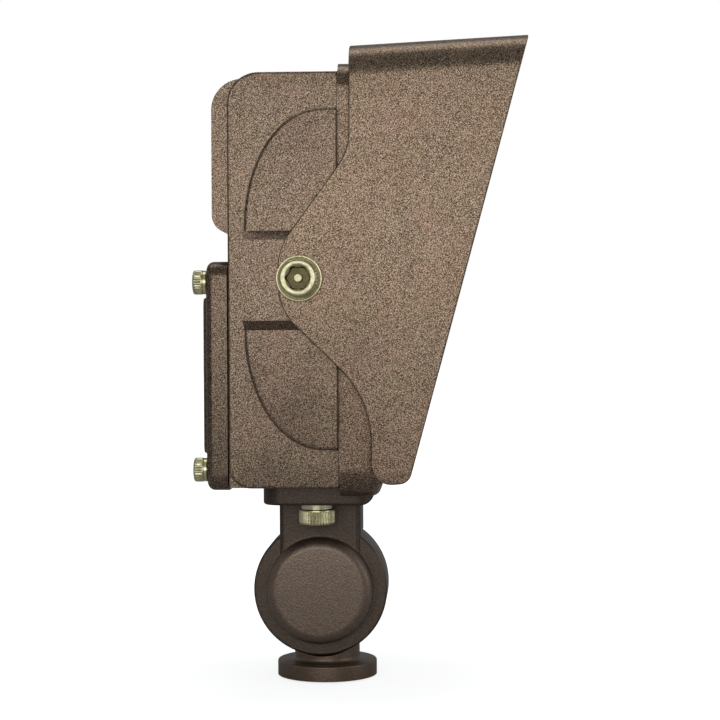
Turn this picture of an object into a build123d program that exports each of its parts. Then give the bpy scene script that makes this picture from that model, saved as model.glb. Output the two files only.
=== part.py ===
from build123d import *
import math
import os

# A landscape flood light on a knuckle joint. Sizes are in millimetres, +Z is up, and the
# origin is the middle of the foot's underside. The light shines along +X. The head turns
# on the knuckle's axis and the visor on its two pivot screws, and both axes lie along Y.

os.makedirs("parts", exist_ok=True)

# Foot and neck
foot_radius = 18.55
foot_height = 5.55
foot_edge = 0.6
neck_radius = 12.15
neck_flare = 1.6
thread_radius = 9.2
thread_depth = 7.0

# Knuckle
axis_height = 33.2
arm_offset = -1.7
knuckle_radius = 24.6
knuckle_thickness = 12.25
knuckle_edge = 0.7
boss_radius = 19.6
boss_height = 7.75
boss_round = 4.2
knuckle_gap = 0.1
turning_gap = 0.4
chamber_radius = 11.0
chamber_depth = 8.6
hub_radius = 6.6
wire_bore = 3.0
wire_bore_inset = 5.0
seal_radius = 15.2
seal_section = 0.8

# Upper arm and its flange
arm_rise = 32.48
block_half_width = 15.0
block_edge = 2.0
block_proud = 1.0
flange_middle = -1.2
flange_half_length = 20.2
flange_half_width = 30.0
flange_thickness = 6.67
flange_corner = 7.0
flange_edge = 1.0
flange_front_round = 5.0
bezel_clearance = 0.3
flange_screw_x = -2.2
flange_screw_y = 21.0
flange_gasket_thickness = 0.6
wire_slot_x = -14.0
wire_slot_width = 5.0
wire_slot_length = 12.0
wire_pocket_depth = 5.0

# Housing
housing_front = 7.3
housing_depth = 38.9
housing_height = 146.0
side_wall = 11.5
end_wall = 11.5
body_step = 2.5
plate_thickness = 4.0
plate_top_corner = 11.0
plate_bottom_corner = 7.7
plate_edge = 0.8
middle_wall_x = -5.0
middle_wall = 5.0
compartment_height = 81.7
compartment_side = 12.5
compartment_floor = 11.1
compartment_roof = 13.8
cavity_corner = 5.0

# Saddle and bearing pad on each side
saddle_height = 6.5
saddle_edge = 1.3
saddle_front_flat = 5.3
saddle_rear_gap = 6.4
saddle_straight = 18.0
saddle_end = 13.6
pad_height = 3.3
pad_half = 13.95
pad_drop = 0.4

# Fins
fin_count = 11
fin_side_gap = 3.5
fin_root = 2.9
fin_tip = 1.8
fin_reach = 6.3
fin_gap = 8.4
fin_drop = 1.4
fin_top_corner = 11.0
fin_bottom_corner = 6.4

# Visor
visor_sheet = 1.5
visor_gap = 0.1
visor_bend = 12.5
visor_edge = 0.5
visor_slope = 2.82
visor_headroom = 7.8
visor_rear = 17.2
visor_hole_gap = 0.1
pivot_x = -5.5
pivot_rise = 0.2
cheek_neck = 43.9
cheek_pad_top = 10.2
cheek_pad_bottom = -10.45
cheek_pad_rear = -7.5
cheek_drop = 41.5
cheek_front_x = 24.3
cheek_lift = 1.65
visor_foot_x = 37.3
visor_foot_rise = 0.9
visor_front_angle = 15.15
cheek_neck_round = 19.5
cheek_pad_round = 20.5
cheek_drop_round = 35.0
cheek_foot_round = 7.0
visor_foot_round = 4.6

# Bezel, lens and reflector
bezel_depth = 14.5
bezel_above = 3.45
bezel_below = 3.15
bezel_beside = 2.5
bezel_corner = 10.0
bezel_round = 3.5
window_lip = 1.0
window_corner = 4.0
window_slope = 22.0
lens_bearing = 2.5
lens_thickness = 4.0
lens_corner = 6.0
lens_lip = 1.5
lens_gasket_wall = 1.8
lens_gap = 0.1
bezel_screw_side = 4.2
bezel_screw_end = 4.7
bezel_screw_recess = 8.0
cup_rows = 4
cup_columns = 2
cup_gap = 1.5
cup_end_wall = 0.95
cup_side_wall = 1.95
cup_sides = 12
cup_throat = 3.9
reflector_edge_gap = 0.3
reflector_front_gap = 0.1

# Light board
board_side_gap = 6.0
board_end_gap = 4.5
board_thickness = 1.6
pad_sheet = 0.5
emitter_side = 5.0
emitter_height = 0.9
board_screw_inset = 3.5
pocket_clearance = 0.6

# Rear cover
cover_step = 1.5
cover_top_gap = 1.7
cover_drop = 1.05
cover_depth = 7.65
cover_wall = 2.2
cover_corner = 6.0
cover_round = 2.6
panel_height = 2.4
panel_margin = 11.4
panel_half_width = 30.5
panel_corner = 4.0
panel_slope = 30.0
cover_gasket_thickness = 0.5
cover_gasket_inset = 1.2
cover_screw_side = 5.5
cover_screw_inset = 7.3

# Driver, grommet and leads
driver_side_gap = 1.5
driver_floor_gap = 2.6
driver_back_gap = 3.6
lead_room = 18.2
driver_round = 1.5
driver_ear_thickness = 2.5
driver_ear_reach = 6.5
driver_ear_height = 12.0
lead_rise = 7.85
lead_radius = 0.6
lead_spacing = 2.6
lead_inset = 5.0
lead_bend = 3.0
lead_tight_bend = 1.2
lead_landing = 5.4
grommet_bore = 2.2
grommet_flange = 5.0
grommet_flange_thickness = 1.0
grommet_neck = 3.6

# Screws: large ones on the pivots, flange and knuckle, then the cover's, bezel's and board's
large_shank = 4.0
large_head = 6.5
large_head_height = 5.6
large_key = 7.0
large_key_depth = 2.8
large_washer = 8.0
large_washer_thickness = 1.6
large_lock_washer = 5.75
large_lock_thickness = 2.0
pivot_screw_reach = 13.0
screw_floor = 3.0
knuckle_bolt_reach = 9.5
knuckle_bolt_sink = 0.3
cover_shank = 2.5
cover_head = 4.3
cover_head_height = 3.7
cover_key = 3.0
cover_key_depth = 1.8
cover_lock_washer = 4.2
cover_lock_thickness = 1.15
cover_screw_reach = 8.0
bezel_shank = 2.0
bezel_head = 3.5
bezel_head_height = 2.6
bezel_key = 2.5
bezel_key_depth = 1.4
bezel_screw_reach = 8.0
small_shank = 1.5
small_head = 2.75
small_head_height = 1.8
small_key = 2.0
small_key_depth = 1.0
small_screw_reach = 3.5
head_edge = 0.5
thread_gap = 0.05
hole_gap = 0.4
bolt_gap = 0.1
tip_room = 1.0

# Places and sizes that follow from the ones above
flange_bottom = axis_height + arm_rise
gasket_bottom = flange_bottom + flange_thickness
housing_bottom = gasket_bottom + flange_gasket_thickness
housing_top = housing_bottom + housing_height
housing_rear = housing_front - housing_depth
housing_middle = housing_bottom + housing_height / 2
pivot_z = housing_middle + pivot_rise
wall_rear = middle_wall_x - middle_wall
board_front = middle_wall_x + pad_sheet + board_thickness

# The rows of cups fill the cavity's height, and the cups then give its width
cavity_half_height = housing_height / 2 - end_wall
cup_mouth = (
    cavity_half_height - reflector_edge_gap - cup_end_wall - (cup_rows - 1) * cup_gap / 2
) / cup_rows
cup_pitch = 2 * cup_mouth + cup_gap
cavity_half_width = (cup_columns * cup_pitch - cup_gap) / 2 + cup_side_wall + reflector_edge_gap
window_half_width = cavity_half_width - window_lip
window_half_height = cavity_half_height - window_lip
lens_half_width = cavity_half_width + lens_bearing
lens_half_height = cavity_half_height + lens_bearing
board_half_width = cavity_half_width - board_side_gap
board_half_height = cavity_half_height - board_end_gap
board_screw_y = board_half_width - board_screw_inset
board_screw_rise = cup_pitch
flange_screw_reach = end_wall - tip_room - screw_floor

plate_half_width = cavity_half_width + side_wall
body_half_width = plate_half_width - body_step
saddle_reach = housing_depth - saddle_front_flat - saddle_rear_gap
saddle_curve = housing_height / 2 - saddle_end - saddle_straight
saddle_face = plate_half_width + saddle_height
pad_face = saddle_face + pad_height
pad_middle = pivot_z - pad_drop
fin_pitch = 2 * (plate_half_width - plate_thickness - fin_side_gap) / (fin_count - 1)
fin_bottom = compartment_height + fin_gap
fin_height = housing_height - fin_bottom - fin_drop
bezel_screw_y = plate_half_width - bezel_screw_side
bezel_screw_rise = housing_height / 2 - bezel_screw_end

visor_inside = pad_face + visor_gap
visor_outside = visor_inside + visor_sheet
pivot_seat = visor_outside + visor_gap
visor_rise = housing_top + visor_headroom - pivot_z
cheek_bottom = pivot_z - housing_bottom - cheek_lift

compartment_half_width = plate_half_width - compartment_side
compartment_half_height = (compartment_height - compartment_floor - compartment_roof) / 2
compartment_middle = compartment_floor + compartment_half_height
cover_half_width = plate_half_width - cover_step
cover_height = compartment_height - cover_top_gap + cover_drop
cover_screw_y = cover_half_width - cover_screw_side
cover_face = housing_rear - cover_gasket_thickness
cover_outside = cover_face - cover_depth
cover_middle = housing_bottom - cover_drop + cover_height / 2
panel_half_height = cover_height / 2 - panel_margin
driver_half_width = compartment_half_width - driver_ear_reach - driver_side_gap
driver_height = 2 * compartment_half_height - driver_floor_gap - lead_room
driver_depth = wall_rear - housing_rear - driver_back_gap
driver_bottom = compartment_floor + driver_floor_gap
lead_run_x = wall_rear - lead_inset
wire_hole_z = housing_bottom + driver_bottom + driver_height + lead_rise


def cap_screws(seat, spots, shank, reach, head, head_height, key, key_depth, edge=head_edge):
    """Cap screws with hexagon sockets, their heads on the seat plane and along its normal."""
    with BuildPart() as screws:
        with BuildSketch(seat):
            with Locations(*spots):
                Circle(head)
        extrude(amount=head_height)
        crowns = screws.faces().group_by(Axis(seat.origin, seat.z_dir))[-1]
        chamfer(crowns.edges(), edge)
        with BuildSketch(seat):
            with Locations(*spots):
                Circle(shank)
        extrude(amount=-reach)
        with BuildSketch(seat.offset(head_height)):
            with Locations(*spots):
                RegularPolygon(key / 2, 6, major_radius=False)
        extrude(amount=-key_depth, mode=Mode.SUBTRACT)
    return screws


def washers(seat, spots, outer, inner, thickness):
    """Plain rings lying on the seat plane."""
    with BuildPart() as rings:
        with BuildSketch(seat):
            with Locations(*spots):
                Circle(outer)
                Circle(inner, mode=Mode.SUBTRACT)
        extrude(amount=thickness)
    return rings


def knuckle_half(side):
    """One half of the knuckle: a disc with a stepped, rounded boss on its outer face."""
    inner = side * knuckle_gap / 2
    rim = side * knuckle_thickness
    crown = side * (knuckle_thickness + boss_height)
    shoulder = side * (knuckle_thickness + boss_height - boss_round)
    with BuildPart() as half:
        with BuildSketch(Plane((arm_offset, 0, axis_height), x_dir=(0, 1, 0), z_dir=(1, 0, 0))):
            with BuildLine():
                Polyline(
                    (crown, 0),
                    (inner, 0),
                    (inner, knuckle_radius),
                    (rim - side * knuckle_edge, knuckle_radius),
                    (rim, knuckle_radius - knuckle_edge),
                    (rim, boss_radius),
                    (shoulder, boss_radius),
                )
                if side > 0:
                    CenterArc((shoulder, boss_radius - boss_round), boss_round, 90, -90)
                else:
                    CenterArc((shoulder, boss_radius - boss_round), boss_round, 90, 90)
                Line((crown, boss_radius - boss_round), (crown, 0))
            make_face()
        revolve(axis=Axis((arm_offset, 0, axis_height), (0, 1, 0)))
        # Annular wire chamber round the bolt's hub
        with BuildSketch(Plane.XZ.offset(-inner)):
            with Locations((arm_offset, axis_height)):
                Circle(chamber_radius)
                Circle(hub_radius, mode=Mode.SUBTRACT)
        extrude(amount=-side * chamber_depth, mode=Mode.SUBTRACT)
    return half


far_half = knuckle_half(1)
near_half = knuckle_half(-1)

# Lower arm: foot, flared neck and the far half of the knuckle, bored for the wires
bolt_seat_y = (
    knuckle_thickness + boss_height - knuckle_bolt_sink - large_head_height - large_lock_thickness
)
with BuildPart() as lower_arm:
    with BuildSketch(Plane.XZ):
        with BuildLine():
            Polyline(
                (0, 0),
                (foot_radius, 0),
                (foot_radius, foot_height),
                (neck_radius, foot_height),
                (neck_radius, axis_height),
                (0, axis_height),
                close=True,
            )
        make_face()
    revolve(axis=Axis.Z)
    foot_rings = lower_arm.edges().filter_by(GeomType.CIRCLE).group_by(Axis.Z)[1]
    fillet(foot_rings.sort_by(SortBy.RADIUS)[0], neck_flare)
    foot_rings = lower_arm.edges().filter_by(GeomType.CIRCLE).group_by(Axis.Z)[1]
    fillet(foot_rings.sort_by(SortBy.RADIUS)[-1], foot_edge)
    with BuildSketch(Plane.XZ.offset(-knuckle_gap / 2)):
        with Locations((arm_offset, axis_height)):
            Circle(knuckle_radius + turning_gap)
    extrude(amount=neck_radius + knuckle_thickness, mode=Mode.SUBTRACT)
    add(far_half.part)
    with BuildSketch(Plane.XY):
        Circle(thread_radius)
    extrude(amount=thread_depth, mode=Mode.SUBTRACT)
    with BuildSketch(Plane.XY.offset(thread_depth)):
        with Locations((arm_offset, wire_bore_inset)):
            Circle(wire_bore)
    extrude(amount=axis_height - hub_radius - thread_depth - wire_bore / 2, mode=Mode.SUBTRACT)
    with BuildSketch(Plane.XZ.offset(-bolt_seat_y)):
        with Locations((arm_offset, axis_height)):
            Circle(large_head + hole_gap)
    extrude(amount=-(boss_height + knuckle_thickness), mode=Mode.SUBTRACT)
    with BuildSketch(Plane.XZ):
        with Locations((arm_offset, axis_height)):
            Circle(large_shank + bolt_gap)
    extrude(amount=-(boss_height + knuckle_thickness), mode=Mode.SUBTRACT)
lower_arm.part.label = "lower_arm"
export_step(lower_arm.part, "parts/lower_arm.step")

# Upper arm: the near half of the knuckle, the block above it and the flange
flange_spots = [(flange_screw_x, flange_screw_y), (flange_screw_x, -flange_screw_y)]
wire_pocket_front = arm_offset + wire_bore
wire_slot_rear = wire_slot_x - wire_slot_width / 2
flange_front = flange_middle + flange_half_length
with BuildPart() as upper_arm:
    with BuildSketch(Plane.XY.offset(axis_height)):
        with Locations((arm_offset, 0)):
            RectangleRounded(2 * block_half_width, 2 * (knuckle_thickness + block_proud), block_edge)
    extrude(amount=arm_rise)
    with BuildSketch(Plane.XZ.offset(knuckle_gap / 2)):
        with Locations((arm_offset, axis_height)):
            Circle(knuckle_radius + turning_gap)
    extrude(amount=-2 * knuckle_thickness, mode=Mode.SUBTRACT)
    with BuildSketch(Plane.XZ.offset(knuckle_thickness)):
        with Locations((arm_offset, axis_height)):
            Circle(chamber_radius + wire_bore)
    extrude(amount=-knuckle_thickness + knuckle_gap / 2, mode=Mode.SUBTRACT)
    with BuildSketch(Plane.XY.offset(flange_bottom)):
        with Locations((flange_middle, 0)):
            RectangleRounded(2 * flange_half_length, 2 * flange_half_width, flange_corner)
    extrude(amount=flange_thickness)
    under_edges = upper_arm.faces().filter_by(Axis.Z).group_by(Axis.Z)[-2].edges()
    outer_rim = under_edges.filter_by(
        lambda e: abs(e.center().X - arm_offset) > block_half_width + block_edge
        or abs(e.center().Y) > knuckle_thickness + block_edge
    )
    fillet(outer_rim, flange_edge)
    with BuildSketch(Plane.XZ):
        with Locations((flange_front, flange_bottom)):
            Rectangle(2 * flange_front_round, 2 * flange_front_round)
        with Locations((flange_front - flange_front_round, flange_bottom + flange_front_round)):
            Circle(flange_front_round, mode=Mode.SUBTRACT)
            Rectangle(
                2 * flange_front_round,
                4 * flange_front_round,
                align=(Align.MAX, Align.CENTER),
                mode=Mode.SUBTRACT,
            )
    extrude(amount=flange_half_width, both=True, mode=Mode.SUBTRACT)
    add(near_half.part)
    # The flange steps down in front, to pass under the bezel
    with BuildSketch(Plane.XY.offset(housing_bottom - bezel_below - bezel_clearance)):
        with Locations((housing_front - bezel_clearance, 0)):
            Rectangle(2 * flange_half_length, 2 * flange_half_width, align=(Align.MIN, Align.CENTER))
    extrude(amount=bezel_below + bezel_clearance, mode=Mode.SUBTRACT)
    with BuildSketch(Plane.XY.offset(gasket_bottom)):
        with Locations(*flange_spots):
            Circle(large_shank + hole_gap)
    extrude(amount=-flange_thickness, mode=Mode.SUBTRACT)
    with BuildSketch(Plane.XY.offset(gasket_bottom)):
        with Locations(((wire_slot_rear + wire_pocket_front) / 2, 0)):
            Rectangle(wire_pocket_front - wire_slot_rear, wire_slot_length)
    extrude(amount=-wire_pocket_depth, mode=Mode.SUBTRACT)
    with BuildSketch(Plane.XY.offset(gasket_bottom - wire_pocket_depth)):
        with Locations((arm_offset, -wire_bore_inset)):
            Circle(wire_bore)
    extrude(amount=-(gasket_bottom - wire_pocket_depth - axis_height - hub_radius - wire_bore / 2), mode=Mode.SUBTRACT)
    with BuildSketch(Plane.XZ.offset(knuckle_gap / 2)):
        with Locations((arm_offset, axis_height)):
            Circle(large_shank + thread_gap)
    extrude(amount=knuckle_bolt_reach + tip_room, mode=Mode.SUBTRACT)
    # Groove for the knuckle's seal
    with BuildSketch(Plane.XZ.offset(knuckle_gap / 2)):
        with Locations((arm_offset, axis_height)):
            Circle(seal_radius + seal_section)
            Circle(seal_radius - seal_section, mode=Mode.SUBTRACT)
    extrude(amount=2 * seal_section, mode=Mode.SUBTRACT)
upper_arm.part.label = "upper_arm"
export_step(upper_arm.part, "parts/upper_arm.step")

with BuildPart() as knuckle_seal:
    with BuildSketch(Plane.XZ.offset(knuckle_gap / 2)):
        with Locations((arm_offset, axis_height)):
            Circle(seal_radius + seal_section - thread_gap)
            Circle(seal_radius - seal_section + thread_gap, mode=Mode.SUBTRACT)
    extrude(amount=2 * seal_section)
knuckle_seal.part.label = "knuckle_seal"
export_step(knuckle_seal.part, "parts/knuckle_seal.step")

# Knuckle bolt, entered from the far side, and its lock washer
bolt_spot = [(-arm_offset, axis_height)]
bolt_plane = Plane((0, bolt_seat_y, 0), x_dir=(-1, 0, 0), z_dir=(0, 1, 0))
knuckle_bolt = cap_screws(
    bolt_plane.offset(large_lock_thickness),
    bolt_spot,
    large_shank,
    bolt_seat_y + large_lock_thickness + knuckle_bolt_reach,
    large_head,
    large_head_height,
    large_key,
    large_key_depth,
)
knuckle_bolt.part.label = "knuckle_bolt"
export_step(knuckle_bolt.part, "parts/knuckle_bolt.step")

knuckle_lock_washer = washers(
    bolt_plane, bolt_spot, large_lock_washer, large_shank + thread_gap, large_lock_thickness
)
knuckle_lock_washer.part.label = "knuckle_lock_washer"
export_step(knuckle_lock_washer.part, "parts/knuckle_lock_washer.step")

# Flange gasket, screws and lock washers
with BuildPart() as flange_gasket:
    with BuildSketch(Plane.XY.offset(gasket_bottom)):
        with Locations((flange_middle, 0)):
            RectangleRounded(2 * flange_half_length, 2 * flange_half_width, flange_corner)
        with Locations((housing_front - bezel_clearance, 0)):
            Rectangle(
                2 * flange_half_length, 2 * flange_half_width, align=(Align.MIN, Align.CENTER), mode=Mode.SUBTRACT
            )
        with Locations(*flange_spots):
            Circle(large_shank + hole_gap, mode=Mode.SUBTRACT)
        with Locations((wire_slot_x, 0)):
            Rectangle(wire_slot_width, wire_slot_length, mode=Mode.SUBTRACT)
    extrude(amount=flange_gasket_thickness)
flange_gasket.part.label = "flange_gasket"
export_step(flange_gasket.part, "parts/flange_gasket.step")

under_flange = Plane((0, 0, flange_bottom), x_dir=(1, 0, 0), z_dir=(0, 0, -1))
flange_screws = cap_screws(
    under_flange.offset(large_lock_thickness),
    flange_spots,
    large_shank,
    large_lock_thickness + flange_thickness + flange_gasket_thickness + flange_screw_reach,
    large_head,
    large_head_height,
    large_key,
    large_key_depth,
)
flange_screws.part.label = "flange_screws"
export_step(flange_screws.part, "parts/flange_screws.step")

flange_lock_washers = washers(
    under_flange, flange_spots, large_lock_washer, large_shank + thread_gap, large_lock_thickness
)
flange_lock_washers.part.label = "flange_lock_washers"
export_step(flange_lock_washers.part, "parts/flange_lock_washers.step")

# Fins: tapered in plan, with the rounded outline that shows from the side
with BuildPart() as fins:
    with BuildSketch(Plane.XY.offset(housing_bottom + fin_bottom)):
        for number in range(fin_count):
            fin_y = (number - (fin_count - 1) / 2) * fin_pitch
            with Locations((0, fin_y)):
                Polygon(
                    (wall_rear + middle_wall / 2, -fin_root / 2),
                    (wall_rear + middle_wall / 2, fin_root / 2),
                    (housing_rear - fin_reach, fin_tip / 2),
                    (housing_rear - fin_reach, -fin_tip / 2),
                    align=None,
                )
    extrude(amount=fin_height)
    with BuildSketch(Plane.XZ):
        with BuildLine():
            FilletPolyline(
                (middle_wall_x, housing_bottom + fin_bottom),
                (housing_rear - fin_reach, housing_bottom + fin_bottom),
                (housing_rear - fin_reach, housing_bottom + fin_bottom + fin_height),
                (middle_wall_x, housing_bottom + fin_bottom + fin_height),
                radius=[fin_bottom_corner, fin_top_corner],
            )
            Line(
                (middle_wall_x, housing_bottom + fin_bottom + fin_height),
                (middle_wall_x, housing_bottom + fin_bottom),
            )
        make_face()
    extrude(amount=body_half_width, both=True, mode=Mode.INTERSECT)

# Housing: side plates with saddle and pad, front box, rear compartment, fins and cavities
saddle_centre = housing_front - saddle_front_flat
saddle_rear = saddle_centre - saddle_reach
cover_spots = [
    (y, cover_middle + rise)
    for y in (-cover_screw_y, cover_screw_y)
    for rise in (-cover_height / 2 + cover_screw_inset, cover_height / 2 - cover_screw_inset)
]
bezel_spots = [
    (y, housing_middle + rise)
    for y in (-bezel_screw_y, bezel_screw_y)
    for rise in (-bezel_screw_rise, bezel_screw_rise)
]
board_spots = [
    (y, housing_middle + rise)
    for y in (-board_screw_y, board_screw_y)
    for rise in (-board_screw_rise, board_screw_rise)
]
driver_middle = housing_bottom + driver_bottom + driver_height / 2
driver_spots = [
    (-driver_half_width - driver_ear_reach / 2, driver_middle),
    (driver_half_width + driver_ear_reach / 2, driver_middle),
]
with BuildPart() as housing:
    with BuildSketch(Plane.XZ.offset(plate_half_width - plate_thickness)):
        with BuildLine():
            FilletPolyline(
                (housing_front, housing_bottom),
                (housing_rear, housing_bottom),
                (housing_rear, housing_top),
                (housing_front, housing_top),
                radius=[plate_bottom_corner, plate_top_corner],
            )
            Line((housing_front, housing_top), (housing_front, housing_bottom))
        make_face()
    extrude(amount=plate_thickness)
    plate_rim = housing.faces().sort_by(Axis.Y)[0].edges().sort_by(Axis.X)[:-1]
    fillet(plate_rim, plate_edge)
    with BuildSketch(Plane.XZ.offset(plate_half_width)):
        with BuildLine():
            Line(
                (housing_front, pivot_z + saddle_straight + saddle_curve),
                (saddle_centre, pivot_z + saddle_straight + saddle_curve),
            )
            EllipticalCenterArc(
                (saddle_centre, pivot_z + saddle_straight), saddle_reach, saddle_curve, start_angle=90, arc_size=90
            )
            Line((saddle_rear, pivot_z + saddle_straight), (saddle_rear, pivot_z - saddle_straight))
            EllipticalCenterArc(
                (saddle_centre, pivot_z - saddle_straight), saddle_reach, saddle_curve, start_angle=180, arc_size=90
            )
            Line(
                (saddle_centre, pivot_z - saddle_straight - saddle_curve),
                (housing_front, pivot_z - saddle_straight - saddle_curve),
            )
            Line(
                (housing_front, pivot_z - saddle_straight - saddle_curve),
                (housing_front, pivot_z + saddle_straight + saddle_curve),
            )
        make_face()
    extrude(amount=saddle_height)
    saddle_rim = housing.faces().sort_by(Axis.Y)[0].edges().sort_by(Axis.X)[:-1]
    fillet(saddle_rim, saddle_edge)
    with BuildSketch(Plane.YZ.offset(saddle_rear)):
        with BuildLine():
            Polyline(
                (-plate_half_width, pad_middle - pad_half - pad_height),
                (-saddle_face, pad_middle - pad_half - pad_height),
                (-pad_face, pad_middle - pad_half),
                (-pad_face, pad_middle + pad_half),
                (-saddle_face, pad_middle + pad_half + pad_height),
                (-plate_half_width, pad_middle + pad_half + pad_height),
                close=True,
            )
        make_face()
    extrude(amount=housing_front - saddle_rear)
    mirror(about=Plane.XZ)
    with BuildSketch(Plane.YZ.offset(wall_rear)):
        with Locations((0, housing_middle)):
            Rectangle(2 * body_half_width, housing_height)
    extrude(amount=housing_front - wall_rear)
    with BuildSketch(Plane.YZ.offset(housing_rear)):
        with Locations((0, housing_bottom + compartment_height / 2)):
            Rectangle(2 * body_half_width, compartment_height)
    extrude(amount=wall_rear - housing_rear)
    add(fins.part)
    with BuildSketch(Plane.YZ.offset(middle_wall_x)):
        with Locations((0, housing_middle)):
            RectangleRounded(2 * cavity_half_width, 2 * cavity_half_height, cavity_corner)
    extrude(amount=housing_front - middle_wall_x, mode=Mode.SUBTRACT)
    with BuildSketch(Plane.YZ.offset(wall_rear)):
        with Locations((0, housing_bottom + compartment_middle)):
            RectangleRounded(2 * compartment_half_width, 2 * compartment_half_height, cavity_corner)
    extrude(amount=housing_rear - wall_rear, mode=Mode.SUBTRACT)
    # Wire ways: from the flange up to the compartment, and through the middle wall
    with BuildSketch(Plane.XY.offset(housing_bottom)):
        with Locations((wire_slot_x, 0)):
            Rectangle(wire_slot_width, wire_slot_length)
    extrude(amount=compartment_middle, mode=Mode.SUBTRACT)
    with BuildSketch(Plane.YZ.offset(wall_rear)):
        with Locations((0, wire_hole_z)):
            Circle(grommet_neck)
    extrude(amount=middle_wall, mode=Mode.SUBTRACT)
    # Tapped holes
    with BuildSketch(Plane.XY.offset(housing_bottom)):
        with Locations(*flange_spots):
            Circle(large_shank + thread_gap)
    extrude(amount=flange_screw_reach + tip_room, mode=Mode.SUBTRACT)
    with BuildSketch(Plane.XZ.offset(pad_face)):
        with Locations((pivot_x, pivot_z)):
            Circle(large_shank + thread_gap)
    extrude(amount=-(pivot_screw_reach + tip_room), mode=Mode.SUBTRACT)
    with BuildSketch(Plane.XZ.offset(-pad_face)):
        with Locations((pivot_x, pivot_z)):
            Circle(large_shank + thread_gap)
    extrude(amount=pivot_screw_reach + tip_room, mode=Mode.SUBTRACT)
    with BuildSketch(Plane.YZ.offset(housing_front)):
        with Locations(*bezel_spots):
            Circle(bezel_shank + thread_gap)
    extrude(amount=-(bezel_screw_reach + tip_room), mode=Mode.SUBTRACT)
    with BuildSketch(Plane.YZ.offset(housing_rear)):
        with Locations(*cover_spots):
            Circle(cover_shank + thread_gap)
    extrude(amount=cover_screw_reach + tip_room, mode=Mode.SUBTRACT)
    with BuildSketch(Plane.YZ.offset(middle_wall_x)):
        with Locations(*board_spots):
            Circle(small_shank + thread_gap)
    extrude(amount=-(small_screw_reach + tip_room / 2), mode=Mode.SUBTRACT)
    with BuildSketch(Plane.YZ.offset(wall_rear)):
        with Locations(*driver_spots):
            Circle(small_shank + thread_gap)
    extrude(amount=small_screw_reach + tip_room / 2, mode=Mode.SUBTRACT)
housing.part.label = "housing"
export_step(housing.part, "parts/housing.step")

# Rear cover: a shallow tray with a raised middle panel and a hole for each screw
with BuildPart() as rear_cover:
    with BuildSketch(Plane.YZ.offset(cover_face)):
        with Locations((0, cover_middle)):
            RectangleRounded(2 * cover_half_width, cover_height, cover_corner)
    extrude(amount=-cover_depth)
    fillet(rear_cover.faces().sort_by(Axis.X)[0].edges(), cover_round)
    with BuildSketch(Plane.YZ.offset(cover_outside)):
        with Locations((0, cover_middle)):
            RectangleRounded(2 * panel_half_width, 2 * panel_half_height, panel_corner)
    extrude(amount=-panel_height, taper=panel_slope)
    with BuildSketch(Plane.YZ.offset(cover_face)):
        with Locations((0, cover_middle)):
            RectangleRounded(
                2 * (panel_half_width - cover_wall), 2 * (panel_half_height - cover_wall), panel_corner
            )
    extrude(amount=-(cover_depth + panel_height - cover_wall), mode=Mode.SUBTRACT)
    with BuildSketch(Plane.YZ.offset(cover_face)):
        with Locations(*cover_spots):
            Circle(cover_shank + hole_gap)
    extrude(amount=-cover_depth, mode=Mode.SUBTRACT)
rear_cover.part.label = "rear_cover"
export_step(rear_cover.part, "parts/rear_cover.step")

with BuildPart() as cover_gasket:
    with BuildSketch(Plane.YZ.offset(cover_face)):
        with Locations((0, cover_middle)):
            RectangleRounded(
                2 * (body_half_width - cover_gasket_inset), cover_height - 2 * cover_gasket_inset, cover_corner
            )
        with Locations((0, housing_bottom + compartment_middle)):
            RectangleRounded(
                2 * compartment_half_width, 2 * compartment_half_height, cavity_corner, mode=Mode.SUBTRACT
            )
        with Locations(*cover_spots):
            Circle(cover_shank + hole_gap, mode=Mode.SUBTRACT)
    extrude(amount=cover_gasket_thickness)
cover_gasket.part.label = "cover_gasket"
export_step(cover_gasket.part, "parts/cover_gasket.step")

cover_seat = Plane((cover_outside, 0, 0), x_dir=(0, -1, 0), z_dir=(-1, 0, 0))
cover_seat_spots = [(-y, z) for y, z in cover_spots]
cover_screws = cap_screws(
    cover_seat.offset(cover_lock_thickness),
    cover_seat_spots,
    cover_shank,
    cover_lock_thickness + cover_depth + cover_gasket_thickness + cover_screw_reach,
    cover_head,
    cover_head_height,
    cover_key,
    cover_key_depth,
)
cover_screws.part.label = "cover_screws"
export_step(cover_screws.part, "parts/cover_screws.step")

cover_lock_washers = washers(
    cover_seat, cover_seat_spots, cover_lock_washer, cover_shank + thread_gap, cover_lock_thickness
)
cover_lock_washers.part.label = "cover_lock_washers"
export_step(cover_lock_washers.part, "parts/cover_lock_washers.step")

# Driver: a potted block with an ear on each side, and its two screws
with BuildPart() as driver_module:
    with BuildSketch(Plane.YZ.offset(wall_rear)):
        with Locations((0, driver_middle)):
            Rectangle(2 * driver_half_width, driver_height)
    extrude(amount=-driver_depth)
    fillet(driver_module.edges().filter_by(Axis.X), driver_round)
    fillet(driver_module.faces().sort_by(Axis.X)[0].edges(), driver_round / 2)
    with BuildSketch(Plane.YZ.offset(wall_rear)):
        with Locations((0, driver_middle)):
            RectangleRounded(2 * (driver_half_width + driver_ear_reach), driver_ear_height, driver_round)
        with Locations(*driver_spots):
            Circle(small_shank + hole_gap / 2, mode=Mode.SUBTRACT)
    extrude(amount=-driver_ear_thickness)
driver_module.part.label = "driver_module"
export_step(driver_module.part, "parts/driver_module.step")

ear_face = Plane((wall_rear - driver_ear_thickness, 0, 0), x_dir=(0, -1, 0), z_dir=(-1, 0, 0))
driver_screws = cap_screws(
    ear_face,
    [(-y, z) for y, z in driver_spots],
    small_shank,
    driver_ear_thickness + small_screw_reach,
    small_head,
    small_head_height,
    small_key,
    small_key_depth,
    head_edge / 2,
)
driver_screws.part.label = "driver_screws"
export_step(driver_screws.part, "parts/driver_screws.step")

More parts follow.
